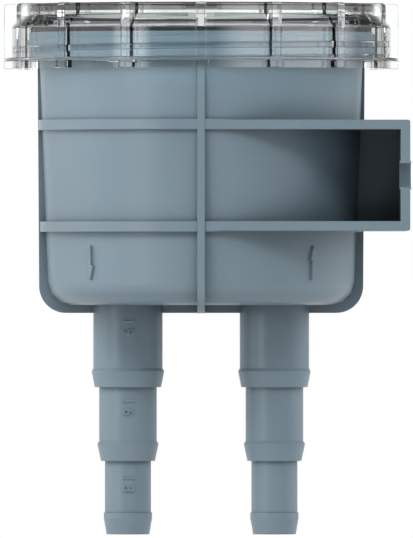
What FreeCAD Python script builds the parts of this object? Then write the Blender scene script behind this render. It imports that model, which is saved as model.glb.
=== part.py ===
"""Sea water strainer with two stepped hose tails and a clear screw lid.

Lengths are in millimetres. Every piece is drawn about the axis of the round
cup, with its heights counted up from the ends of the hose tails, and is then
placed so that the origin is the middle of the face that is bolted to a
bulkhead: +X points into the bulkhead, +Z points up to the lid.
"""
import FreeCAD, Part
import math
import os
import Sketcher

from FreeCAD import Vector

# Driving dimensions: alias, value or formula, what it is

SIZES = [
    # Heights above the ends of the hose tails
    ("tail_end_height", "0", "ends of the hose tails"),
    ("web_foot", "60.9", "lower edge of the two crossed webs"),
    ("cup_foot", "63.15", "underside of the round cup"),
    ("cup_floor", "66.2", "inside floor of the cup"),
    ("neck_foot", "130.1", "underside of the threaded neck"),
    ("neck_top", "138", "rim of the neck, where the seal lies"),
    ("basket_ledge", "133.8", "ledge that carries the basket"),
    ("lid_foot", "128", "lower edge of the lid's skirt"),
    ("lid_top", "145.9", "top of the lid"),
    # Round cup and neck
    ("cup_radius_low", "41.9", "outside of the cup at its floor"),
    ("cup_radius_high", "44.5", "outside of the cup under the neck"),
    ("cup_draft", "=(cup_radius_high - cup_radius_low) / (neck_foot - cup_foot)", "widening for each mm up"),
    ("cup_edge", "6.5", "radius of the cup's lower edge, which is made as three flat bands"),
    ("edge_top", "=cup_foot + cup_edge", "upper end of the bands"),
    ("edge_top_radius", "=cup_radius_low + cup_draft * cup_edge", "outside of the cup over the bands"),
    ("edge_centre_radius", "=edge_top_radius - cup_edge", "centre line of the lower edge"),
    ("edge_low_radius", "=edge_centre_radius + cup_edge * sin(30)", "top of the lowest band"),
    ("edge_low_height", "=edge_top - cup_edge * cos(30)", "its height"),
    ("edge_high_radius", "=edge_centre_radius + cup_edge * sin(60)", "top of the middle band"),
    ("edge_high_height", "=edge_top - cup_edge * cos(60)", "its height"),
    ("cup_bore", "39.3", "inside of the cup"),
    ("neck_radius", "47.4", "outside of the neck, at the root of its thread"),
    ("neck_bore", "42.6", "inside of the neck"),
    # Crossed webs and the two rings round the cup
    ("web_half_low", "44.55", "half width of a web at its foot"),
    ("web_half_high", "45", "half width of a web under the neck"),
    ("web_thickness", "2.1", "thickness of a web"),
    ("web_corner", "7.4", "rounding of a web's lower corners"),
    ("ring_thickness", "2.85", "thickness of a ring"),
    ("lower_ring_foot", "83.2", "underside of the lower ring"),
    ("lower_ring_radius", "44.35", "outside of the lower ring"),
    ("lower_ring_head", "=lower_ring_foot + ring_thickness", "top of the lower ring"),
    ("upper_ring_head", "114", "top of the upper ring"),
    ("upper_ring_radius", "44.8", "outside of the upper ring"),
    ("upper_ring_foot", "=upper_ring_head - ring_thickness", "underside of the upper ring"),
    # Box bracket on the right-hand side
    ("bracket_step", "0.25", "how far a bracket plate is set back from its ring"),
    ("bracket_foot", "=lower_ring_foot + bracket_step", "underside of the bracket"),
    ("bracket_head", "=upper_ring_head - bracket_step", "top of the bracket"),
    ("wall_face", "57.07", "outer face of the mounting wall"),
    ("wall_thickness", "2.6", "thickness of the mounting wall"),
    ("wall_back", "=wall_face - wall_thickness", "inner face of the mounting wall"),
    ("bracket_half_depth", "44.35", "half depth of the bracket, front to back"),
    ("bracket_corner", "0.6", "rounding of the bracket's outer corners"),
    # Open notches for the mounting screws
    ("notch_half_width", "3.3", "half width of a notch, for a 6 mm screw"),
    ("notch_centre", "36.35", "middle of the notch's round end, from the centre plane"),
    ("notch_height", "=(lower_ring_foot + upper_ring_head) / 2", "height of the notches"),
    ("lip_width", "0.6", "width of the lip round a notch"),
    ("lip_height", "0.27", "how far the lip stands proud of the wall"),
    ("lip_half_width", "=notch_half_width + lip_width", "half width over the lip"),
    ("lip_length", "=wall_thickness + 2 * lip_height", "thickness over both lips"),
    ("lip_start", "=wall_back - lip_height", "inner face of the lips"),
    ("notch_overrun", "=bracket_half_depth + 2", "where the notch cutter starts"),
    # Stepped hose tails for 19, 16 and 13 mm hose
    ("tail_offset", "20.16", "hose tail axis from the cup's axis"),
    ("small_tail", "6.35", "radius of the smallest step"),
    ("middle_tail", "7.95", "radius of the middle step"),
    ("large_tail", "9.55", "radius of the largest step"),
    ("small_ridge_end", "5.9", "radius of the lowest ridge at its tip"),
    ("small_ridge", "6.65", "largest radius of the lowest ridge"),
    ("small_ridge_widest", "4.4", "height of the lowest ridge's widest line"),
    ("small_ridge_top", "6", "top of the lowest ridge"),
    ("middle_ridge_foot", "20.2", "lower end of the middle ridge"),
    ("middle_ridge_end", "7.45", "radius of the middle ridge at its lower end"),
    ("middle_ridge", "8.45", "largest radius of the middle ridge"),
    ("middle_ridge_widest", "24.9", "height of the middle ridge's widest line"),
    ("middle_ridge_top", "25.7", "top of the middle ridge"),
    ("large_ridge_foot", "40.5", "lower end of the upper ridge"),
    ("large_ridge_end", "9.15", "radius of the upper ridge at its lower end"),
    ("large_ridge", "10", "largest radius of the upper ridge"),
    ("large_ridge_widest", "44.9", "height of the upper ridge's widest line"),
    ("large_ridge_top", "45.7", "top of the upper ridge"),
    # Waterways
    ("small_bore", "4.7", "waterway radius in the smallest step"),
    ("middle_bore", "5.9", "waterway radius in the middle step"),
    ("large_bore", "7.2", "waterway radius in the largest step"),
    ("small_bore_top", "22.4", "where the smallest waterway widens"),
    ("middle_bore_top", "42.6", "where the middle waterway widens"),
    ("spigot_radius", "9.3", "outside of the inlet spigot in the cup"),
    ("spigot_top", "78", "top of the inlet spigot"),
    # Strainer basket
    ("basket_floor_foot", "72.2", "underside of the basket's floor"),
    ("basket_floor_head", "74", "top of the basket's floor"),
    ("basket_radius", "36.8", "outside of the basket"),
    ("basket_wall", "1.6", "thickness of the basket's wall"),
    ("basket_bore", "=basket_radius - basket_wall", "inside of the basket"),
    ("basket_rim_radius", "42.3", "outside of the basket's rim"),
    ("basket_rim_head", "=basket_ledge + 2.2", "top of the basket's rim"),
    ("slit_half_width", "0.9", "half width of a slit in the wall"),
    ("slit_length", "21.2", "height of a slit"),
    ("slit_pitch", "25", "from the lower row of slits to the upper row"),
    ("lower_slit_foot", "80.6", "lower end of the lower row"),
    ("upper_slit_foot", "=lower_slit_foot + slit_pitch", "lower end of the upper row"),
    ("lower_slit_head", "=lower_slit_foot + slit_length", "upper end of the lower row"),
    ("upper_slit_head", "=upper_slit_foot + slit_length", "upper end of the upper row"),
    ("slit_count", "24", "slits in a row"),
    ("floor_slit_half_length", "14", "half length of a slit in the floor"),
    ("floor_slit_outside", "27.8", "far side of the outermost floor slit, from the cup's axis"),
    ("floor_slit_inside", "=floor_slit_outside - 2 * slit_half_width", "its near side"),
    ("floor_slit_pitch", "4.6", "from one floor slit to the next"),
    ("floor_slit_count", "7", "slits in the floor"),
    ("collar_clearance", "0.25", "gap between the collar and the inlet spigot"),
    ("collar_bore", "=spigot_radius + collar_clearance", "inside of the basket's collar"),
    ("collar_radius", "=collar_bore + 1.6", "outside of the basket's collar"),
    ("collar_head", "=spigot_top + 0.6", "top of the basket's collar"),
    ("handle_half_width", "3.5", "half width of the lifting bar"),
    ("handle_reach", "=basket_bore + 0.8", "half length of the lifting bar"),
    ("handle_foot", "=basket_rim_head - 2.2", "underside of the bar's ends"),
    ("handle_flat", "21", "half length of the bar's raised part"),
    ("handle_slope", "27", "where the bar starts to rise"),
    ("handle_arch", "=neck_top - 2.4", "underside of the raised part"),
    ("handle_head", "=neck_top - 0.1", "top of the raised part"),
    ("handle_bend", "6", "rounding of the bends in the bar"),
    # Clear lid
    ("crown_radius", "48.3", "outside of the lid's crown"),
    ("crown_bevel", "0.8", "bevel of the crown's top edge"),
    ("crown_top_radius", "=crown_radius - crown_bevel", "edge of the crown's flat top"),
    ("crown_side_top", "=lid_top - crown_bevel", "top of the crown's upright side"),
    ("crown_ceiling", "143.9", "inside top of the lid"),
    ("crown_bore", "44", "inside of the crown"),
    ("seal_thickness", "1.15", "thickness of the squeezed seal"),
    ("seal_head", "=neck_top + seal_thickness", "lid's seal face, top of the seal"),
    ("shoulder_height", "142.6", "top of the lid's shoulder"),
    ("shoulder_bevel", "2.9", "bevel of the shoulder's edge"),
    ("shoulder_top_radius", "=skirt_radius - shoulder_bevel", "edge of the shoulder's flat top"),
    ("skirt_top", "=shoulder_height - shoulder_bevel", "top of the skirt's upright side"),
    ("skirt_radius", "52.15", "outside of the skirt"),
    ("skirt_bore", "50.1", "inside of the skirt, at the root of its thread"),
    ("flange_radius", "54.3", "outside of the thin flange"),
    ("flange_foot", "130.1", "underside of the flange"),
    ("flange_head", "131", "top of the flange"),
    ("wing_radius", "54.25", "outside of a grip wing"),
    ("wing_half_thickness", "1.45", "half thickness of a grip wing"),
    ("wing_bevel", "0.9", "bevel of a wing's top corner"),
    ("wing_top_radius", "=wing_radius - wing_bevel", "outer end of a wing's flat top"),
    ("wing_side_top", "=lid_top - wing_bevel", "top of a wing's upright edge"),
    ("wing_root", "=crown_top_radius - 0.4", "where a wing starts inside the crown"),
    ("wing_skirt_root", "=skirt_radius - 0.8", "where a wing starts inside the skirt"),
    ("wing_step", "=skirt_top - 0.4", "where a wing's root meets the shoulder"),
    ("foot_half_width", "2.1", "half width of a foot under a wing"),
    ("wing_count", "16", "grip wings round the lid"),
    # Flat seal
    ("seal_radius", "46.9", "outside of the seal"),
    ("seal_bore", "44.3", "inside of the seal"),
    # Where the drawing axis stands from the mounting face
    ("placed_x", "=-wall_face", "cup axis from the mounting face"),
    ("placed_z", "=-notch_height", "hose tail ends from the middle of the mounting face"),
]

doc = FreeCAD.newDocument("Strainer")
sheet = doc.addObject("Spreadsheet::Sheet", "Sizes")
for row, (alias, content, meaning) in enumerate(SIZES, start=1):
    sheet.set(f"A{row}", meaning)
    sheet.set(f"B{row}", content)
    sheet.setAlias(f"B{row}", alias)
doc.recompute()

ROUND = 360
ORIGIN_POINT = (-1, 1)
HORIZONTAL_AXIS = -1
VERTICAL_AXIS = -2
LINE_START = 1
LINE_END = 2


def value(name):
    """Value of a dimension; a leading minus sign gives its negative."""
    if name == "0":
        return 0.0
    sign = -1.0 if name.startswith("-") else 1.0
    return sign * float(sheet.get(name.lstrip("-")))


def bind(target, prop, name):
    """Tie a property to a dimension; a leading minus sign reverses it."""
    sign = "-" if name.startswith("-") else ""
    target.setExpression(prop, f"{sign}Sizes.{name.lstrip('-')}")


# Sketches

def new_piece(label):
    """An empty body whose own origin lies on the cup's axis."""
    body = doc.addObject("PartDesign::Body", label)
    body.Label = label
    bind(body, "Placement.Base.x", "placed_x")
    bind(body, "Placement.Base.z", "placed_z")
    return body


def new_sketch(body, plane, name, aside=None, along=None):
    """A sketch on an origin plane, moved sideways or along its normal if asked."""
    sketch = body.newObject("Sketcher::SketchObject", name)
    support = next(item for item in body.Origin.OriginFeatures if item.Role == plane)
    sketch.AttachmentSupport = (support, [""])
    sketch.MapMode = "FlatFace"
    if aside:
        bind(sketch, "AttachmentOffset.Base.x", aside)
    if along:
        bind(sketch, "AttachmentOffset.Base.z", along)
    return sketch


def hold(sketch, element, end, across, up):
    """Hold one point at a stated place, counted from the sketch's origin."""
    for kind, axis, name in (("DistanceX", VERTICAL_AXIS, across), ("DistanceY", HORIZONTAL_AXIS, up)):
        distance = value(name)
        if distance == 0:
            sketch.addConstraint(Sketcher.Constraint("PointOnObject", element, end, axis))
            continue
        ends = (*ORIGIN_POINT, element, end) if distance > 0 else (element, end, *ORIGIN_POINT)
        index = sketch.addConstraint(Sketcher.Constraint(kind, *ends, abs(distance)))
        bind(sketch, f"Constraints[{index}]", name.lstrip("-"))


def draw_outline(sketch, corners):
    """A closed outline through corners (across, up) or (across, up, rounding)."""
    points = [Vector(value(corner[0]), value(corner[1]), 0) for corner in corners]
    count = len(points)
    for index, point in enumerate(points):
        sketch.addGeometry(Part.LineSegment(point, points[(index + 1) % count]), False)
    for index in range(count):
        following = (index + 1) % count
        sketch.addConstraint(Sketcher.Constraint("Coincident", index, LINE_END, following, LINE_START))
    for index, corner in enumerate(corners):
        hold(sketch, index, LINE_START, corner[0], corner[1])
    for index, corner in enumerate(corners):
        if len(corner) == 3:
            round_corner(sketch, (index - 1) % count, index, points, corner[2])


def round_corner(sketch, before, after, points, rounding):
    """Replace the corner between two lines by an arc and keep the corner's place."""
    corner = points[after]
    radius = value(rounding)
    towards_start = (points[before] - corner).normalize() * radius
    towards_end = (points[(after + 1) % len(points)] - corner).normalize() * radius
    sketch.fillet(before, after, corner + towards_start, corner + towards_end, radius, True, True)
    arc = next(
        index for index in range(sketch.GeometryCount - 1, -1, -1)
        if isinstance(sketch.Geometry[index], Part.ArcOfCircle)
    )
    index = sketch.addConstraint(Sketcher.Constraint("Radius", arc, radius))
    bind(sketch, f"Constraints[{index}]", rounding)


def draw_open_notch(sketch, mouth, centre, up, half_width):
    """A notch from its mouth to a half-round end; mouth and centre are on the negative side."""
    middle = value(up)
    half = value(half_width)
    start = value(mouth)
    stop = value(centre)
    quarter_turn = math.pi / 2
    sketch.addGeometry(Part.LineSegment(Vector(start, middle - half, 0), Vector(stop, middle - half, 0)), False)
    end_circle = Part.Circle(Vector(stop, middle, 0), Vector(0, 0, 1), half)
    sketch.addGeometry(Part.ArcOfCircle(end_circle, -quarter_turn, quarter_turn), False)
    sketch.addGeometry(Part.LineSegment(Vector(stop, middle + half, 0), Vector(start, middle + half, 0)), False)
    sketch.addGeometry(Part.LineSegment(Vector(start, middle + half, 0), Vector(start, middle - half, 0)), False)
    sketch.addConstraint(Sketcher.Constraint("Tangent", 0, LINE_END, 1, LINE_START))
    sketch.addConstraint(Sketcher.Constraint("Tangent", 1, LINE_END, 2, LINE_START))
    sketch.addConstraint(Sketcher.Constraint("Coincident", 2, LINE_END, 3, LINE_START))
    sketch.addConstraint(Sketcher.Constraint("Coincident", 3, LINE_END, 0, LINE_START))
    sketch.addConstraint(Sketcher.Constraint("Horizontal", 0))
    sketch.addConstraint(Sketcher.Constraint("Vertical", 3))
    arc_centre = 3
    hold(sketch, 1, arc_centre, centre, up)
    index = sketch.addConstraint(Sketcher.Constraint("Radius", 1, half))
    bind(sketch, f"Constraints[{index}]", half_width)
    index = sketch.addConstraint(Sketcher.Constraint("DistanceX", 3, LINE_START, *ORIGIN_POINT, abs(start)))
    bind(sketch, f"Constraints[{index}]", mouth.lstrip("-"))


# Features

def turn(body, name, corners, cut=False, aside=None):
    """Turn an outline of (radius, height) about an upright axis."""
    sketch = new_sketch(body, "XZ_Plane", f"{name}_outline", aside=aside)
    draw_outline(sketch, corners)
    feature = body.newObject("PartDesign::Groove" if cut else "PartDesign::Revolution", name)
    feature.Profile = sketch
    feature.ReferenceAxis = (sketch, ["V_Axis"])
    feature.Angle = ROUND
    doc.recompute()
    return feature


def extrude(body, name, sketch, length, cut=False, both_ways=False, reverse=False):
    """Pad or pocket a sketch by a stated length."""
    feature = body.newObject("PartDesign::Pocket" if cut else "PartDesign::Pad", name)
    feature.Profile = sketch
    feature.SideType = "Symmetric" if both_ways else "One side"
    feature.Reversed = reverse
    feature.setExpression("Length", length)
    doc.recompute()
    return feature


def repeat_round(body, name, features, count):
    """Repeat features evenly round the cup's axis."""
    pattern = body.newObject("PartDesign::PolarPattern", name)
    pattern.Originals = features
    axis = next(item for item in body.Origin.OriginFeatures if item.Role == "Z_Axis")
    pattern.Axis = (axis, [""])
    pattern.Angle = ROUND
    bind(pattern, "Occurrences", count)
    body.Tip = pattern
    doc.recompute()
    return pattern


def mirror_to_back(body, name, features):
    """Repeat features on the other side of the centre plane."""
    mirrored = body.newObject("PartDesign::Mirrored", name)
    mirrored.Originals = features
    plane = next(item for item in body.Origin.OriginFeatures if item.Role == "XZ_Plane")
    mirrored.MirrorPlane = (plane, [""])
    body.Tip = mirrored
    doc.recompute()
    return mirrored


# Housing: cup, neck, webs, rings, bracket and hose tails moulded in one piece

def add_cup(body):
    turn(body, "cup", [
        ("0", "cup_foot"),
        ("edge_centre_radius", "cup_foot"),
        ("edge_low_radius", "edge_low_height"),
        ("edge_high_radius", "edge_high_height"),
        ("edge_top_radius", "edge_top"),
        ("cup_radius_high", "neck_foot"),
        ("neck_radius", "neck_foot"),
        ("neck_radius", "neck_top"),
        ("0", "neck_top"),
    ])


def add_webs(body):
    outline = [
        ("-web_half_low", "web_foot", "web_corner"),
        ("web_half_low", "web_foot", "web_corner"),
        ("web_half_high", "neck_foot"),
        ("-web_half_high", "neck_foot"),
    ]
    for plane, name in (("XZ_Plane", "centre_web"), ("YZ_Plane", "cross_web")):
        sketch = new_sketch(body, plane, f"{name}_outline")
        draw_outline(sketch, outline)
        extrude(body, name, sketch, "Sizes.web_thickness", both_ways=True)


def add_rings(body):
    for ring in ("lower_ring", "upper_ring"):
        turn(body, ring, [
            ("cup_bore", f"{ring}_foot"),
            (f"{ring}_radius", f"{ring}_foot"),
            (f"{ring}_radius", f"{ring}_head"),
            ("cup_bore", f"{ring}_head"),
        ])


def add_bracket(body):
    sketch = new_sketch(body, "XZ_Plane", "bracket_outline")
    draw_outline(sketch, [
        ("0", "bracket_foot"),
        ("wall_face", "bracket_foot", "bracket_corner"),
        ("wall_face", "bracket_head", "bracket_corner"),
        ("0", "bracket_head"),
        ("0", "upper_ring_foot"),
        ("wall_back", "upper_ring_foot"),
        ("wall_back", "lower_ring_head"),
        ("0", "lower_ring_head"),
    ])
    extrude(body, "bracket", sketch, "2 * Sizes.bracket_half_depth", both_ways=True)

    web = new_sketch(body, "XZ_Plane", "bracket_web_outline")
    draw_outline(web, [
        ("cup_bore", "bracket_foot"),
        ("wall_back", "bracket_foot"),
        ("wall_back", "bracket_head"),
        ("cup_bore", "bracket_head"),
    ])
    extrude(body, "bracket_web", web, "Sizes.web_thickness", both_ways=True)


def add_notches(body):
    lip = new_sketch(body, "YZ_Plane", "lip_outline", along="lip_start")
    draw_open_notch(lip, "-bracket_half_depth", "-notch_centre", "notch_height", "lip_half_width")
    lips = extrude(body, "lip", lip, "Sizes.lip_length")
    mirror_to_back(body, "lips", [lips])

    notch = new_sketch(body, "YZ_Plane", "notch_outline", along="lip_start")
    draw_open_notch(notch, "-notch_overrun", "-notch_centre", "notch_height", "notch_half_width")
    cut = extrude(body, "notch", notch, "Sizes.lip_length", cut=True, reverse=True)
    mirror_to_back(body, "notches", [cut])


def add_hose_tail(body, side, aside):
    turn(body, f"{side}_tail", [
        ("0", "tail_end_height"),
        ("small_ridge_end", "tail_end_height"),
        ("small_ridge", "small_ridge_widest"),
        ("small_ridge", "small_ridge_top"),
        ("small_tail", "small_ridge_top"),
        ("small_tail", "middle_ridge_foot"),
        ("middle_ridge_end", "middle_ridge_foot"),
        ("middle_ridge", "middle_ridge_widest"),
        ("middle_tail", "middle_ridge_top"),
        ("middle_tail", "large_ridge_foot"),
        ("large_ridge_end", "large_ridge_foot"),
        ("large_ridge", "large_ridge_widest"),
        ("large_tail", "large_ridge_top"),
        ("large_tail", "cup_floor"),
        ("0", "cup_floor"),
    ], aside=aside)


def hollow_cup(body):
    turn(body, "cup_inside", [
        ("0", "cup_floor"),
        ("cup_bore", "cup_floor"),
        ("cup_bore", "basket_ledge"),
        ("neck_bore", "basket_ledge"),
        ("neck_bore", "neck_top"),
        ("0", "neck_top"),
    ], cut=True)


def add_spigot(body):
    turn(body, "inlet_spigot", [
        ("0", "cup_foot"),
        ("spigot_radius", "cup_foot"),
        ("spigot_radius", "spigot_top"),
        ("0", "spigot_top"),
    ], aside="tail_offset")


def bore_hose_tail(body, side, aside, top):
    turn(body, f"{side}_waterway", [
        ("0", "tail_end_height"),
        ("small_bore", "tail_end_height"),
        ("small_bore", "small_bore_top"),
        ("middle_bore", "small_bore_top"),
        ("middle_bore", "middle_bore_top"),
        ("large_bore", "middle_bore_top"),
        ("large_bore", top),
        ("0", top),
    ], cut=True, aside=aside)


def make_housing():
    body = new_piece("housing")
    add_cup(body)
    add_webs(body)
    add_rings(body)
    add_bracket(body)
    add_notches(body)
    add_hose_tail(body, "inlet", "tail_offset")
    add_hose_tail(body, "outlet", "-tail_offset")
    hollow_cup(body)
    add_spigot(body)
    bore_hose_tail(body, "inlet", "tail_offset", "spigot_top")
    bore_hose_tail(body, "outlet", "-tail_offset", "cup_floor")
    return body


# Strainer basket: a slotted cup that hangs by its rim and sits over the inlet spigot

def make_basket():
    body = new_piece("strainer_basket")
    turn(body, "basket_wall_and_floor", [
        ("0", "basket_floor_foot"),
        ("basket_radius", "basket_floor_foot"),
        ("basket_radius", "basket_ledge"),
        ("basket_rim_radius", "basket_ledge"),
        ("basket_rim_radius", "basket_rim_head"),
        ("basket_bore", "basket_rim_head"),
        ("basket_bore", "basket_floor_head"),
        ("0", "basket_floor_head"),
    ])
    turn(body, "collar", [
        ("0", "basket_floor_foot"),
        ("collar_radius", "basket_floor_foot"),
        ("collar_radius", "collar_head"),
        ("0", "collar_head"),
    ], aside="tail_offset")
    turn(body, "collar_inside", [
        ("0", "basket_floor_foot"),
        ("collar_bore", "basket_floor_foot"),
        ("collar_bore", "collar_head"),
        ("0", "collar_head"),
    ], cut=True, aside="tail_offset")
    add_wall_slits(body)
    add_floor_slits(body)
    add_lifting_bar(body)
    return body


def add_wall_slits(body):
    slits = []
    for row in ("lower", "upper"):
        sketch = new_sketch(body, "YZ_Plane", f"{row}_slit_outline")
        draw_outline(sketch, [
            ("-slit_half_width", f"{row}_slit_foot"),
            ("slit_half_width", f"{row}_slit_foot"),
            ("slit_half_width", f"{row}_slit_head"),
            ("-slit_half_width", f"{row}_slit_head"),
        ])
        slits.append(extrude(body, f"{row}_slit", sketch, "Sizes.basket_rim_radius", cut=True, reverse=True))
    repeat_round(body, "wall_slits", slits, "slit_count")


def add_floor_slits(body):
    sketch = new_sketch(body, "XY_Plane", "floor_slit_outline", along="basket_floor_foot")
    draw_outline(sketch, [
        ("-floor_slit_outside", "-floor_slit_half_length"),
        ("-floor_slit_inside", "-floor_slit_half_length"),
        ("-floor_slit_inside", "floor_slit_half_length"),
        ("-floor_slit_outside", "floor_slit_half_length"),
    ])
    slit = extrude(
        body, "floor_slit", sketch, "Sizes.basket_floor_head - Sizes.basket_floor_foot", cut=True, reverse=True
    )
    pattern = body.newObject("PartDesign::LinearPattern", "floor_slits")
    pattern.Originals = [slit]
    axis = next(item for item in body.Origin.OriginFeatures if item.Role == "X_Axis")
    pattern.Direction = (axis, [""])
    pattern.setExpression("Length", "Sizes.floor_slit_pitch * (Sizes.floor_slit_count - 1)")
    bind(pattern, "Occurrences", "floor_slit_count")
    body.Tip = pattern
    doc.recompute()


def add_lifting_bar(body):
    sketch = new_sketch(body, "YZ_Plane", "lifting_bar_outline")
    draw_outline(sketch, [
        ("-handle_reach", "handle_foot"),
        ("-handle_slope", "handle_foot", "handle_bend"),
        ("-handle_flat", "handle_arch", "handle_bend"),
        ("handle_flat", "handle_arch", "handle_bend"),
        ("handle_slope", "handle_foot", "handle_bend"),
        ("handle_reach", "handle_foot"),
        ("handle_reach", "basket_rim_head"),
        ("handle_slope", "basket_rim_head", "handle_bend"),
        ("handle_flat", "handle_head", "handle_bend"),
        ("-handle_flat", "handle_head", "handle_bend"),
        ("-handle_slope", "basket_rim_head", "handle_bend"),
        ("-handle_reach", "basket_rim_head"),
    ])
    extrude(body, "lifting_bar", sketch, "2 * Sizes.handle_half_width", both_ways=True)


# Clear lid: crown, shoulder, skirt and flange, with grip wings all round

def make_lid():
    body = new_piece("lid")
    turn(body, "lid_shell", [
        ("0", "crown_ceiling"),
        ("crown_bore", "crown_ceiling"),
        ("crown_bore", "seal_head"),
        ("skirt_bore", "seal_head"),
        ("skirt_bore", "lid_foot"),
        ("skirt_radius", "lid_foot"),
        ("skirt_radius", "flange_foot"),
        ("flange_radius", "flange_foot"),
        ("flange_radius", "flange_head"),
        ("skirt_radius", "flange_head"),
        ("skirt_radius", "skirt_top"),
        ("shoulder_top_radius", "shoulder_height"),
        ("crown_radius", "shoulder_height"),
        ("crown_radius", "crown_side_top"),
        ("crown_top_radius", "lid_top"),
        ("0", "lid_top"),
    ])
    wing_outline = new_sketch(body, "XZ_Plane", "wing_outline")
    draw_outline(wing_outline, [
        ("wing_skirt_root", "flange_head"),
        ("wing_radius", "flange_head"),
        ("wing_radius", "wing_side_top"),
        ("wing_top_radius", "lid_top"),
        ("wing_root", "lid_top"),
        ("wing_root", "wing_step"),
        ("wing_skirt_root", "wing_step"),
    ])
    wing = extrude(body, "wing", wing_outline, "2 * Sizes.wing_half_thickness", both_ways=True)
    foot_outline = new_sketch(body, "XZ_Plane", "foot_outline")
    draw_outline(foot_outline, [
        ("wing_skirt_root", "lid_foot"),
        ("wing_radius", "lid_foot"),
        ("wing_radius", "flange_foot"),
        ("wing_skirt_root", "flange_foot"),
    ])
    foot = extrude(body, "foot", foot_outline, "2 * Sizes.foot_half_width", both_ways=True)
    repeat_round(body, "wings_and_feet", [wing, foot], "wing_count")
    return body


# Flat seal between the neck's rim and the lid

def make_seal():
    body = new_piece("lid_seal")
    turn(body, "seal_ring", [
        ("seal_bore", "neck_top"),
        ("seal_radius", "neck_top"),
        ("seal_radius", "seal_head"),
        ("seal_bore", "seal_head"),
    ])
    return body


# Build, test and write every piece

pieces = [make_housing(), make_basket(), make_lid(), make_seal()]
doc.recompute()

for item in doc.Objects:
    if "Invalid" in item.State or "Error" in item.State:
        raise RuntimeError(f"{item.Label} could not be built: {item.State}")
for piece in pieces:
    shape = piece.Shape
    if shape.isNull() or not shape.isValid():
        raise RuntimeError(f"{piece.Label} has no valid solid")
    print(piece.Label, len(shape.Solids), "solid", round(shape.Volume), "mm3", shape.BoundBox)

os.makedirs("parts", exist_ok=True)
for piece in pieces:
    piece.Shape.exportStep(f"parts/{piece.Label}.step")
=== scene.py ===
import math

import bmesh
import bpy
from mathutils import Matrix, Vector


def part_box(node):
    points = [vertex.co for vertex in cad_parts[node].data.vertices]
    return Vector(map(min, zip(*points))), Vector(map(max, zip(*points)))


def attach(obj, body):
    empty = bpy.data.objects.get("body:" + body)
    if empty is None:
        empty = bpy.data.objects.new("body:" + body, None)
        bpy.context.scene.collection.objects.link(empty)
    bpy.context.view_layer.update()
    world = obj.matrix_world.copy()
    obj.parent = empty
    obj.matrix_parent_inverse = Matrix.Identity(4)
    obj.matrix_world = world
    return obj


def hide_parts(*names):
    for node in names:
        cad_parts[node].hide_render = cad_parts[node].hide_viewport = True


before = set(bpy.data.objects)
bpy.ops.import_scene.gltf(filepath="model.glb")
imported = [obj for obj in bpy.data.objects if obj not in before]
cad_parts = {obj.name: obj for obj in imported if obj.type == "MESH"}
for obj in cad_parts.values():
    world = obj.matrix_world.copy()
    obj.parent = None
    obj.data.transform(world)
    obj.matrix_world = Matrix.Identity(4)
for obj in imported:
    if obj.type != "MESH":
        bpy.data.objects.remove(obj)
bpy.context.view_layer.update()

# Camera
# The photo is square on and shows no perspective, so a very long lens looks level at the
# strainer from far away. Places are counted from the cup's axis and the hose tail ends, and
# the frame is measured on an upright plane a little in front of the axis.
mm = 0.001
lid_low, lid_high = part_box("lid")
axis_x = (lid_low.x + lid_high.x) / 2
tail_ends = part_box("housing")[0].z
frame_height = 147.5
frame_right_of_axis = 1.47
frame_middle_height = 73.0
lens = 1200.0
sensor = 36.0
frame_plane_before_axis = 20.0

camera_data = bpy.data.cameras.new("camera")
camera_data.lens = lens
camera_data.sensor_width = sensor
camera_data.clip_end = 20.0
camera = bpy.data.objects.new("camera", camera_data)
camera_distance = frame_height / sensor * lens + frame_plane_before_axis
camera.location = (
    axis_x + frame_right_of_axis * mm,
    -camera_distance * mm,
    tail_ends + frame_middle_height * mm,
)
camera.rotation_euler = (math.radians(90), 0, 0)
bpy.context.scene.collection.objects.link(camera)
bpy.context.scene.camera = camera
bpy.context.scene.view_settings.view_transform = "Standard"


# Studio
# A white floor lies under the hose tails. The surround is dark in front, overhead and low down,
# lighter on the left, and has a bright spot at the front left. Polished surfaces also mirror a
# white panel on the right. Seven large soft lights: three in front and two at each side.
class Socket:
    """One output in a shader tree. Arithmetic with it adds the Math nodes it needs."""

    def __init__(self, tree, socket=None):
        self.tree = tree
        self.socket = socket

    def node(self, kind, settings=(), sockets=(), output=None):
        """Add a node: its settings first, then the values or links of its sockets."""
        made = self.tree.nodes.new(kind)
        for name, setting in dict(settings).items():
            if name != "stops":
                setattr(made, name, setting)
                continue
            ramp = made.color_ramp.elements
            for _ in range(len(setting) - len(ramp)):
                ramp.new(1)
            for stop, (position, colour) in zip(ramp, setting):
                stop.position = position
                stop.color = colour
        for name, source in dict(sockets).items():
            if isinstance(name, int):
                target = made.inputs[name]
            else:
                target = next(item for item in made.inputs if item.enabled and item.name == name)
            if isinstance(source, Socket):
                self.tree.links.new(source.socket, target)
            else:
                target.default_value = source
        if output:
            return Socket(self.tree, made.outputs[output])
        return Socket(self.tree, next((item for item in made.outputs if item.enabled), None))

    def maths(self, operation, first, second):
        return self.node("ShaderNodeMath", {"operation": operation}, {0: first, 1: second})

    def __add__(self, other):
        return self.maths("ADD", self, other)

    def __radd__(self, other):
        return self.maths("ADD", other, self)

    def __sub__(self, other):
        return self.maths("SUBTRACT", self, other)

    def __rsub__(self, other):
        return self.maths("SUBTRACT", other, self)

    def __mul__(self, other):
        return self.maths("MULTIPLY", self, other)

    def __rmul__(self, other):
        return self.maths("MULTIPLY", other, self)


def grey(level):
    return (level, level, level, 1)


def start_material(name):
    """A material with an empty tree, and the socket that its nodes are built from."""
    material = bpy.data.materials.new(name)
    material.use_nodes = True
    material.node_tree.nodes.clear()
    return material, Socket(material.node_tree)


spot_azimuth = -44
spot_strength = 3.4
panel_azimuth = 60
panel_strength = 2.5
left_to_right_mean = 0.85
left_to_right_fall = 0.30

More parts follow.
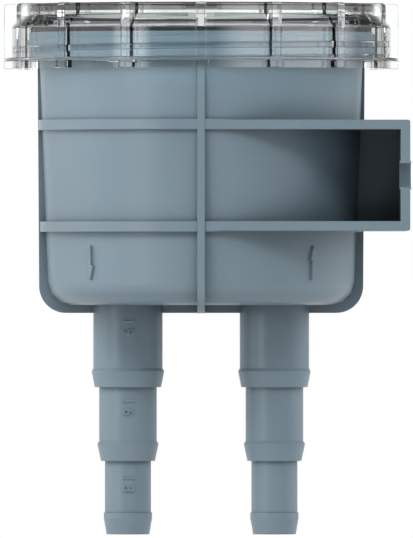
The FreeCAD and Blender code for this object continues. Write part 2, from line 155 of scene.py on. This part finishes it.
world = bpy.data.worlds.new("surround")
world.use_nodes = True
world.node_tree.nodes.clear()
bpy.context.scene.world = world
air = Socket(world.node_tree)
direction = air.node("ShaderNodeTexCoord", output="Generated")
heading = air.node("ShaderNodeSeparateXYZ", sockets={"Vector": direction}, output="X")
depth = air.node("ShaderNodeSeparateXYZ", sockets={"Vector": direction}, output="Y")
upward = air.node("ShaderNodeSeparateXYZ", sockets={"Vector": direction}, output="Z")


def levels(source, stops):
    """A number that follows another one through (position, level) stops."""
    return air.node("ShaderNodeValToRGB", {
        "stops": [(position, grey(level)) for position, level in stops],
    }, {"Fac": source}, output="Color")


def facing(azimuth):
    """How nearly a direction points level at an azimuth: 1 straight at it, 0 square to it."""
    return heading * math.sin(math.radians(azimuth)) + depth * -math.cos(math.radians(azimuth))


front_to_back = levels(depth * 0.5 + 0.5, [
    (0.00, 0.05),
    (0.10, 0.10),
    (0.26, 0.50),
    (0.50, 0.80),
    (0.80, 0.60),
    (0.96, 0.60),
    (0.99, 1.40),
])
low_to_high = levels(upward * 0.5 + 0.5, [
    (0.00, 0.20),
    (0.40, 0.90),
    (0.58, 1.00),
    (0.72, 0.40),
    (1.00, 0.25),
])
left_to_right = left_to_right_mean - left_to_right_fall * heading
spot = levels(facing(spot_azimuth), [(0.975, 0.0), (0.997, 1.0)])
panel_width = levels(facing(panel_azimuth), [(0.62, 0.0), (0.84, 1.0)])
panel_height = levels(upward * 0.5 + 0.5, [(0.35, 0.0), (0.43, 1.0), (0.57, 1.0), (0.65, 0.0)])
in_polish = air.node("ShaderNodeLightPath", output="Is Singular Ray")
surround = (
    front_to_back * low_to_high * left_to_right
    + spot * spot_strength
    + panel_width * panel_height * panel_strength * in_polish
)
seen = air.node("ShaderNodeLightPath", output="Is Camera Ray")
shown = air.node("ShaderNodeMix", {"data_type": "RGBA"}, {"Factor": seen, "A": surround, "B": grey(1.0)})
backdrop = air.node("ShaderNodeBackground", sockets={"Color": shown, "Strength": 1.0})
air.node("ShaderNodeOutputWorld", sockets={"Surface": backdrop})

floor_half = 1.5
floor_gap = 25.0
floor_as_lit = 0.75
floor_as_seen = 0.93
floor_mesh = bpy.data.meshes.new("floor")
floor_height = tail_ends - floor_gap * mm
floor_mesh.from_pydata(
    [
        (-floor_half, -floor_half, floor_height),
        (floor_half, -floor_half, floor_height),
        (floor_half, floor_half, floor_height),
        (-floor_half, floor_half, floor_height),
    ],
    [], [(0, 1, 2, 3)],
)
floor = bpy.data.objects.new("floor", floor_mesh)
bpy.context.scene.collection.objects.link(floor)
floor_paint, paper = start_material("floor_paper")
paper_grain = paper.node("ShaderNodeTexNoise", sockets={"Scale": 900.0, "Detail": 2.0})
paper_shader = paper.node("ShaderNodeBsdfPrincipled", sockets={
    "Base Color": paper.node("ShaderNodeMix", {"data_type": "RGBA"}, {
        "Factor": paper.node("ShaderNodeLightPath", output="Is Camera Ray"),
        "A": grey(floor_as_lit),
        "B": grey(floor_as_seen),
    }),
    "Roughness": paper_grain * 0.1 + 0.75,
    "Specular IOR Level": 0.1,
})
paper.node("ShaderNodeOutputMaterial", sockets={"Surface": paper_shader})
floor_mesh.materials.append(floor_paint)

# Azimuth and elevation in degrees, then distance, width and height in metres, then watts
studio_lights = {
    "left_light": (-108, 12, 1.7, 1.0, 1.6, 16.5),
    "left_side_light": (-70, 8, 1.7, 0.6, 1.6, 7.8),
    "front_left_light": (-45, 42, 2.0, 0.8, 0.6, 14.5),
    "front_right_light": (8, 38, 2.0, 1.2, 0.6, 16.3),
    "front_low_light": (10, 16, 2.0, 0.8, 0.5, 2.2),
    "right_side_light": (86, 8, 1.7, 0.5, 1.6, 8.5),
    "right_light": (118, 12, 1.7, 0.8, 1.6, 21.0),
}
lowest_seen_in_lid = 30
aim = Vector((axis_x, 0, tail_ends + frame_middle_height * mm))
for name, (azimuth, elevation, distance, width, height, power) in studio_lights.items():
    light_data = bpy.data.lights.new(name, "AREA")
    light_data.shape = "RECTANGLE"
    light_data.size = width
    light_data.size_y = height
    light_data.energy = power
    light = bpy.data.objects.new(name, light_data)
    level_distance = distance * math.cos(math.radians(elevation))
    light.location = aim + Vector((
        level_distance * math.sin(math.radians(azimuth)),
        -level_distance * math.cos(math.radians(azimuth)),
        distance * math.sin(math.radians(elevation)),
    ))
    light.rotation_mode = "QUATERNION"
    light.rotation_quaternion = (aim - light.location).to_track_quat("-Z", "Y")
    light.visible_camera = False
    light.visible_glossy = False
    light.visible_transmission = elevation > lowest_seen_in_lid
    bpy.context.scene.collection.objects.link(light)


# Housing
# One injection moulding in blue-grey plastic: cup, neck, webs, rings, bracket and hose tails.
# Its skin is satin, with a fine grain, slight clouding and edges that are a little soft.
# Its colour also carries painted shade, darker near corners, beside ribs and in recesses.
housing_dark = (0.150, 0.207, 0.245, 1)
housing_light = (0.176, 0.240, 0.284, 1)
clouding_scale = 45.0
grain_scale = 2400.0
grain_depth = 0.05
skin_roughness = 0.27
clouding_roughness = 0.08
soft_edge_radius = 0.3
# Reach and darkest level of the painted shade in corners and recesses
painted_shade_reach = 8.0
painted_shade_level = 0.36
lower_edge_radius = 6.5
lower_edge_ring_radius = 35.65
lower_edge_ring_height = 69.65
lower_edge_slack = 0.3
clear_of_web = 1.07

housing_plastic, skin = start_material("housing_plastic")
skin_place = skin.node("ShaderNodeTexCoord", output="Object")
clouding = skin.node("ShaderNodeTexNoise", sockets={
    "Vector": skin_place,
    "Scale": clouding_scale,
    "Detail": 3.0,
})
grain = skin.node("ShaderNodeTexNoise", sockets={
    "Vector": skin_place,
    "Scale": grain_scale,
    "Detail": 2.0,
})
skin_colour = skin.node("ShaderNodeMix", {"data_type": "RGBA"}, {
    "Factor": clouding,
    "A": housing_dark,
    "B": housing_light,
})
# Painted shade: the colour is darkened where nearby parts close in, as shade falls in corners
painted_shade_openness = skin.node("ShaderNodeAmbientOcclusion", {"samples": 8, "only_local": True}, {
    "Distance": painted_shade_reach * mm,
}, output="AO")
skin_colour = skin.node("ShaderNodeMix", {"data_type": "RGBA", "blend_type": "MULTIPLY"}, {
    "Factor": 1.0,
    "A": skin_colour,
    "B": skin.node("ShaderNodeMix", {"data_type": "RGBA"}, {
        "Factor": painted_shade_openness,
        "A": grey(painted_shade_level),
        "B": grey(1.0),
    }),
})
soft_edges = skin.node("ShaderNodeBevel", {"samples": 6}, {"Radius": soft_edge_radius * mm})


def vector_maths(operation, first, second=(0, 0, 0), output="Vector"):
    return skin.node("ShaderNodeVectorMath", {"operation": operation}, {0: first, 1: second}, output=output)


# The cup's lower edge is a round one: its light follows the round, not the flat bands.
ring_middle = (axis_x, 0, tail_ends + lower_edge_ring_height * mm)
from_ring_middle = vector_maths("SUBTRACT", skin_place, ring_middle)
level_part = vector_maths("MULTIPLY", from_ring_middle, (1, 1, 0))
ring_radius = (lower_edge_ring_radius * mm,) * 3
to_ring = vector_maths("MULTIPLY", vector_maths("NORMALIZE", level_part), ring_radius)
from_ring = vector_maths("SUBTRACT", from_ring_middle, to_ring)
off_ring = vector_maths("LENGTH", from_ring, output="Value")
from_axis = vector_maths("LENGTH", level_part, output="Value")
on_edge = (
    off_ring.maths("GREATER_THAN", off_ring, (lower_edge_radius - lower_edge_slack) * mm)
    * off_ring.maths("LESS_THAN", off_ring, (lower_edge_radius + lower_edge_slack) * mm)
    * off_ring.maths("GREATER_THAN", from_axis, lower_edge_ring_radius * mm)
)
for axis in "XY":
    aside = skin.node("ShaderNodeSeparateXYZ", sockets={"Vector": from_ring_middle}, output=axis)
    from_web = aside.maths("ABSOLUTE", aside, 0)
    on_edge = on_edge * from_web.maths("GREATER_THAN", from_web, clear_of_web * mm)
above_ring = skin.node("ShaderNodeSeparateXYZ", sockets={"Vector": from_ring_middle}, output="Z")
on_edge = on_edge * above_ring.maths("LESS_THAN", above_ring, 0)
rounded_skin = skin.node("ShaderNodeMix", {"data_type": "VECTOR"}, {
    "Factor": on_edge,
    "A": soft_edges,
    "B": vector_maths("NORMALIZE", from_ring),
})
skin_relief = skin.node("ShaderNodeBump", sockets={
    "Strength": 0.12,
    "Distance": grain_depth * mm,
    "Height": grain,
    "Normal": rounded_skin,
})
skin_shader = skin.node("ShaderNodeBsdfPrincipled", sockets={
    "Base Color": skin_colour,
    "Roughness": clouding * clouding_roughness + skin_roughness,
    "Normal": skin_relief,
})
skin.node("ShaderNodeOutputMaterial", sockets={"Surface": skin_shader})
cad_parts["housing"].material_slots[0].material = housing_plastic


# Thread on the neck
# A single right-hand ridge, moulded with the neck, that runs one and a half turns round it.
# The lid's own ridge rides under it, half a pitch lower.
full_turn = 2 * math.pi
thread_pitch = 3.6
neck_radius = 47.4
neck_ridge_crest = 48.5
neck_ridge_root_half = 1.1
neck_ridge_crest_half = 0.8
neck_ridge_start_turn = -0.46
neck_ridge_turns = 1.53
neck_ridge_height_at_left = 134.85
neck_ridge_sunk = 0.3
run_out = 0.06
run_out_width = 0.4
left_side = 0.5
ridge_steps = 180


def placed(radius, turn, height):
    """A point about the cup's axis: radius and height in millimetres, turn as an angle from +X."""
    return Vector((
        axis_x + radius * math.cos(turn) * mm,
        radius * math.sin(turn) * mm,
        tail_ends + height * mm,
    ))


def finish_mesh(mesh, material, sharp_above=30):
    """Turn the faces outward and shade them smooth, except over edges sharper than an angle."""
    work = bmesh.new()
    work.from_mesh(mesh)
    bmesh.ops.recalc_face_normals(work, faces=work.faces)
    work.to_mesh(mesh)
    work.free()
    mesh.materials.clear()
    mesh.materials.append(material)
    mesh.shade_smooth()
    mesh.set_sharp_from_angle(angle=math.radians(sharp_above))


def new_piece(name, points, faces, material):
    """A piece from its points and faces."""
    mesh = bpy.data.meshes.new(name)
    mesh.from_pydata(points, [], faces)
    finish_mesh(mesh, material)
    piece = bpy.data.objects.new(name, mesh)
    bpy.context.scene.collection.objects.link(piece)
    return piece


def ridge(root, crest, root_half, crest_half, sunk, start_turn, turns, height_at_left):
    """Points and faces of a screw ridge whose ends run out into the wall it stands on."""
    steps = round(turns * ridge_steps)
    direction_out = 1 if crest > root else -1
    profile = [
        (root - sunk * direction_out, -root_half),
        (root, -root_half),
        (crest, -crest_half),
        (crest, crest_half),
        (root, root_half),
        (root - sunk * direction_out, root_half),
    ]
    points = []
    for step in range(steps + 1):
        turn = start_turn + turns * step / steps
        middle = height_at_left + thread_pitch * (turn - left_side)
        reach = min(1, min(turn - start_turn, start_turn + turns - turn) / run_out)
        for radius, up in profile:
            proud = (radius - root) * (reach if (radius - root) * direction_out > 0 else 1)
            width = run_out_width + (1 - run_out_width) * reach
            points.append(placed(root + proud, turn * full_turn, middle + up * width))
    count = len(profile)
    faces = [
        [step * count + side, step * count + (side + 1) % count,
         (step + 1) * count + (side + 1) % count, (step + 1) * count + side]
        for step in range(steps) for side in range(count)
    ]
    faces += [list(range(count)), [steps * count + side for side in reversed(range(count))]]
    return points, faces


neck_thread = new_piece("neck_thread", *ridge(
    neck_radius, neck_ridge_crest, neck_ridge_root_half, neck_ridge_crest_half, neck_ridge_sunk,
    neck_ridge_start_turn, neck_ridge_turns, neck_ridge_height_at_left,
), housing_plastic)
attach(neck_thread, "strainer_body")


# Flow arrows
# Two raised arrows on the front of the cup, up by the inlet and down by the outlet, moulded
# with it. They show which hose goes where.
cup_foot = 63.15
cup_top = 130.1
cup_radius_low = 41.9
cup_radius_high = 44.5
arrow_middle = 74.7
arrow_half_length = 4.75
arrow_head_length = 4.1
arrow_head_half = 1.15
arrow_shaft_half = 0.47
arrow_proud = 0.75
arrow_sunk = 0.3


def cup_radius(height):
    return cup_radius_low + (cup_radius_high - cup_radius_low) * (height - cup_foot) / (cup_top - cup_foot)


def plate(outline, position, sunk, proud):
    """A thin solid over an outline; position maps (across, up, proud) to a point."""
    count = len(outline)
    points = [position(across, up, height) for height in (-sunk, proud) for across, up in outline]
    faces = [list(range(count)), list(range(count, 2 * count))]
    faces += [[side, (side + 1) % count, count + (side + 1) % count, count + side] for side in range(count)]
    return points, faces


for arrow_name, arrow_turn, pointing in (("inlet_arrow", 45.7, 1), ("outlet_arrow", -45.2, -1)):
    tip = arrow_half_length * pointing
    neck = (arrow_half_length - arrow_head_length) * pointing
    tail = -tip
    arrow_outline = [
        (0, tip), (arrow_head_half, neck), (arrow_shaft_half, neck), (arrow_shaft_half, tail),
        (-arrow_shaft_half, tail), (-arrow_shaft_half, neck), (-arrow_head_half, neck),
    ]

    def on_cup(across, up, proud):
        height = arrow_middle + up
        middle_turn = math.radians(arrow_turn - 90)
        return placed(cup_radius(height) + proud, middle_turn + across / cup_radius(height), height)

    arrow = new_piece(arrow_name, *plate(arrow_outline, on_cup, arrow_sunk, arrow_proud), housing_plastic)
    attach(arrow, "strainer_body")


# Hose sizes on the outlet tail
# The hose bore that each step takes, as plain raised numbers moulded with the tail. They read
# downwards on its front.
tail_left_of_axis = 20.16
figures = (("19", 9.55, 57.1), ("16", 7.95, 35.2), ("13", 6.35, 14.0))
figure_size = 4.2
figure_spacing = 1.4
figure_bolder = 0.1
figure_half_block = 0.5
figure_proud = 0.4
figure_sunk = 0.1

for figure, tail_radius, figure_height in figures:
    text = bpy.data.curves.new("figure", "FONT")
    text.body = figure
    text.size = figure_size
    text.space_character = figure_spacing
    text.offset = figure_bolder
    text.align_x = "CENTER"
    text.align_y = "CENTER"
    text.extrude = figure_half_block
    text.resolution_u = 3
    letters = bpy.data.objects.new("letters", text)
    bpy.context.scene.collection.objects.link(letters)
    bpy.context.view_layer.update()
    mesh = bpy.data.meshes.new_from_object(letters)
    bpy.data.objects.remove(letters)
    for vertex in mesh.vertices:
        radius = tail_radius + (figure_proud if vertex.co.z > 0 else -figure_sunk)
        across = vertex.co.y / tail_radius
        vertex.co = Vector((
            axis_x + (radius * math.sin(across) - tail_left_of_axis) * mm,
            -radius * math.cos(across) * mm,
            tail_ends + (figure_height - vertex.co.x) * mm,
        ))
    finish_mesh(mesh, housing_plastic)
    number = bpy.data.objects.new(f"hose_size_{figure}", mesh)
    bpy.context.scene.collection.objects.link(number)
    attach(number, "strainer_body")


# Basket
# A slotted basket moulded in pale grey plastic with a fine grain. It hangs by its rim on a
# ledge in the neck, with a collar over the inlet spigot and a bar across it to lift it by.
basket_dark = (0.50, 0.49, 0.47, 1)
basket_light = (0.58, 0.57, 0.55, 1)
basket_grain_scale = 1800.0
basket_grain_depth = 0.05
basket_soft_edge_radius = 0.25

basket_plastic, pale = start_material("basket_plastic")
pale_place = pale.node("ShaderNodeTexCoord", output="Object")
basket_grain = pale.node("ShaderNodeTexNoise", sockets={
    "Vector": pale_place,
    "Scale": basket_grain_scale,
    "Detail": 2.0,
})
basket_colour = pale.node("ShaderNodeMix", {"data_type": "RGBA"}, {
    "Factor": basket_grain,
    "A": basket_dark,
    "B": basket_light,
})
basket_relief = pale.node("ShaderNodeBump", sockets={
    "Strength": 0.15,
    "Distance": basket_grain_depth * mm,
    "Height": basket_grain,
    "Normal": pale.node("ShaderNodeBevel", {"samples": 4}, {"Radius": basket_soft_edge_radius * mm}),
})
basket_shader = pale.node("ShaderNodeBsdfPrincipled", sockets={
    "Base Color": basket_colour,
    "Roughness": basket_grain * 0.1 + 0.4,
    "Normal": basket_relief,
})
pale.node("ShaderNodeOutputMaterial", sockets={"Surface": basket_shader})
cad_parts["strainer_basket"].material_slots[0].material = basket_plastic


# Seal
# A flat ring of black rubber, squeezed between the neck's rim and the lid. It has a dull
# skin with a very fine grain.
rubber_dark = 0.010
rubber_light = 0.020
rubber_grain_scale = 3000.0
rubber_grain_depth = 0.03

seal_rubber, rubber = start_material("seal_rubber")
rubber_place = rubber.node("ShaderNodeTexCoord", output="Object")
rubber_grain = rubber.node("ShaderNodeTexNoise", sockets={
    "Vector": rubber_place,
    "Scale": rubber_grain_scale,
    "Detail": 2.0,
})
rubber_shader = rubber.node("ShaderNodeBsdfPrincipled", sockets={
    "Base Color": rubber.node("ShaderNodeMix", {"data_type": "RGBA"}, {
        "Factor": rubber_grain,
        "A": grey(rubber_dark),
        "B": grey(rubber_light),
    }),
    "Roughness": rubber_grain * 0.15 + 0.5,
    "Normal": rubber.node("ShaderNodeBump", sockets={
        "Strength": 0.2,
        "Distance": rubber_grain_depth * mm,
        "Height": rubber_grain,
    }),
})
rubber.node("ShaderNodeOutputMaterial", sockets={"Surface": rubber_shader})
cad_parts["lid_seal"].material_slots[0].material = seal_rubber


# Lid
# One clear moulding: a flat crown, a sloping shoulder, a skirt with a screw ridge inside, a
# thin flange, and sixteen grip wings with feet. It is polished, with a slight waviness from
# the mould, and its ridge screws onto the neck's.
clear_tint = (0.97, 0.985, 0.99, 1)
passed_light_tint = (0.90, 0.95, 0.96, 1)
depth_tint = (0.10, 0.09, 0.08, 1)
depth_density = 15.0
flow_wave_scale = 90.0
flow_wave_depth = 0.2
# The lid has to be this smooth for the white panel on the right to show in it.
polish = 0.003

clear_plastic, clear = start_material("clear_plastic")
clear_place = clear.node("ShaderNodeTexCoord", output="Object")
flow_waves = clear.node("ShaderNodeTexNoise", sockets={
    "Vector": clear_place,
    "Scale": flow_wave_scale,
    "Detail": 1.0,
})
clear_shader = clear.node("ShaderNodeBsdfPrincipled", sockets={
    "Base Color": clear_tint,
    "Roughness": flow_waves * polish,
    "IOR": 1.5,
    "Transmission Weight": 1.0,
    "Normal": clear.node("ShaderNodeBump", sockets={
        "Strength": 0.05,
        "Distance": flow_wave_depth * mm,
        "Height": flow_waves,
    }),
})
light_passes = clear.node("ShaderNodeMixShader", sockets={
    0: clear.node("ShaderNodeLightPath", output="Is Shadow Ray"),
    1: clear_shader,
    2: clear.node("ShaderNodeBsdfTransparent", sockets={"Color": passed_light_tint}),
})
clear_depth = clear.node("ShaderNodeVolumeAbsorption", sockets={
    "Color": depth_tint,
    "Density": depth_density,
})
clear.node("ShaderNodeOutputMaterial", sockets={"Surface": light_passes, "Volume": clear_depth})

lid_foot = 128.0
lid_top = 145.9
crown_radius = 48.3
crown_ceiling = 143.9
crown_bore = 44.0
seal_face = 139.15
shoulder_height = 142.6
slope_foot = 139.7
slope_head_radius = 49.25
skirt_radius = 52.15
skirt_bore = 50.1
flange_radius = 54.3
flange_foot = 130.1
flange_head = 131.0
inside_rounding = 0.2
flange_rounding = 0.3
slope_foot_rounding = 1.2
slope_head_rounding = 0.8
crown_rounding = 0.35
wing_radius = 54.25
wing_half = 1.45
wing_edge = 0.25
wing_corner_rounding = 1.1
wing_sunk_in_crown = 0.9
wing_sunk_in_skirt = 0.6
wing_sunk_in_flange = 0.4
wing_sunk_in_slope = 0.3
foot_half = 2.1
wing_count = 16
lid_ridge_crest = 47.8
lid_ridge_root_half = 0.85
lid_ridge_crest_half = 0.55
lid_ridge_sunk = 0.4
lid_ridge_start_turn = -0.35
lid_ridge_turns = 1.45
lid_segments = 320


def rounded(corners, steps=7):
    """Points of an outline of (across, up) corners; a third number rounds the corner by an arc."""
    points = []
    for index, corner in enumerate(corners):
        here = Vector(corner[:2])
        if len(corner) == 2:
            points.append(here)
            continue
        before = (Vector(corners[index - 1][:2]) - here).normalized()
        after = (Vector(corners[(index + 1) % len(corners)][:2]) - here).normalized()
        half_angle = before.angle(after) / 2
        centre = here + (before + after).normalized() * corner[2] / math.sin(half_angle)
        start = (here + before * corner[2] / math.tan(half_angle) - centre).normalized()
        end = (here + after * corner[2] / math.tan(half_angle) - centre).normalized()
        for step in range(steps + 1):
            points.append(centre + start.slerp(end, step / steps) * corner[2])
    return points


def lathe(outline, segments):
    """Points and faces of an outline of (radius, height) turned about the cup's axis."""
    points = []
    rings = []
    for radius, height in outline:
        count = segments if radius > 0 else 1
        rings.append(range(len(points), len(points) + count))
        points += [placed(radius, full_turn * step / segments, height) for step in range(count)]
    faces = []
    for ring, following in zip(rings, rings[1:] + rings[:1]):
        if len(ring) == len(following) == 1:
            continue
        for step in range(segments):
            ahead = (step + 1) % segments
            corners = [ring[step % len(ring)], ring[ahead % len(ring)],
                       following[ahead % len(following)], following[step % len(following)]]
            faces.append(list(dict.fromkeys(corners)))
    return points, faces


def upright_plates(outline, half_thickness, count):
    """Flat plates with an outline of (radius, height), stood evenly round the axis."""
    points = []
    faces = []
    for number in range(count):
        turn = full_turn * number / count

        def on_plate(radius, height, aside):
            return placed(math.hypot(radius, aside), turn + math.atan2(aside, radius), height)

        made, sides = plate(outline, on_plate, half_thickness, half_thickness)
        faces += [[len(points) + corner for corner in side] for side in sides]
        points += made
    return points, faces


def apply_modifiers(piece):
    bpy.context.view_layer.update()
    made = bpy.data.meshes.new_from_object(piece.evaluated_get(bpy.context.evaluated_depsgraph_get()))
    piece.modifiers.clear()
    piece.data = made


def mould_together(base, others):
    """Weld overlapping solids into one piece, as they are one moulding."""
    for other in others:
        weld = base.modifiers.new("weld", "BOOLEAN")
        weld.operation = "UNION"
        weld.solver = "EXACT"
        weld.object = other
    apply_modifiers(base)
    for other in others:
        bpy.data.objects.remove(other)


lid_outline = rounded([
    (0, crown_ceiling),
    (crown_bore, crown_ceiling, inside_rounding),
    (crown_bore, seal_face, inside_rounding),
    (skirt_bore, seal_face),
    (skirt_bore, lid_foot),
    (skirt_radius, lid_foot),
    (skirt_radius, flange_foot),
    (flange_radius, flange_foot, flange_rounding),
    (flange_radius, flange_head, flange_rounding),
    (skirt_radius, flange_head),
    (skirt_radius, slope_foot, slope_foot_rounding),
    (slope_head_radius, shoulder_height, slope_head_rounding),
    (crown_radius, shoulder_height, crown_rounding),
    (crown_radius, lid_top, crown_rounding),
    (0, lid_top),
])
wing_outline = rounded([
    (skirt_radius - wing_sunk_in_skirt, flange_head - wing_sunk_in_flange),
    (wing_radius, flange_head - wing_sunk_in_flange),
    (wing_radius, lid_top, wing_corner_rounding),
    (crown_radius - wing_sunk_in_crown, lid_top),
    (crown_radius - wing_sunk_in_crown, slope_foot - wing_sunk_in_slope),
    (skirt_radius - wing_sunk_in_skirt, slope_foot - wing_sunk_in_slope),
])
foot_outline = [
    (skirt_radius - wing_sunk_in_skirt, lid_foot),
    (wing_radius, lid_foot),
    (wing_radius, flange_foot + wing_sunk_in_flange),
    (skirt_radius - wing_sunk_in_skirt, flange_foot + wing_sunk_in_flange),
]
lid = new_piece("clear_lid", *lathe(lid_outline, lid_segments), clear_plastic)
wings = new_piece("wings", *upright_plates(wing_outline, wing_half, wing_count), clear_plastic)
feet = new_piece("feet", *upright_plates(foot_outline, foot_half, wing_count), clear_plastic)
for plates in (wings, feet):
    soft_rim = plates.modifiers.new("soft_rim", "BEVEL")
    soft_rim.width = wing_edge * mm
    soft_rim.segments = 3
    soft_rim.limit_method = "ANGLE"
    soft_rim.angle_limit = math.radians(60)
lid_thread = new_piece("lid_thread", *ridge(
    skirt_bore, lid_ridge_crest, lid_ridge_root_half, lid_ridge_crest_half, lid_ridge_sunk,
    lid_ridge_start_turn, lid_ridge_turns, neck_ridge_height_at_left - thread_pitch / 2,
), clear_plastic)
mould_together(lid, [wings, feet, lid_thread])
finish_mesh(lid.data, clear_plastic, sharp_above=25)
flat_faces_stay_flat = lid.modifiers.new("flat_faces_stay_flat", "WEIGHTED_NORMAL")
flat_faces_stay_flat.keep_sharp = True
flat_faces_stay_flat.weight = 100
apply_modifiers(lid)
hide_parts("lid")
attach(lid, "screw_lid")
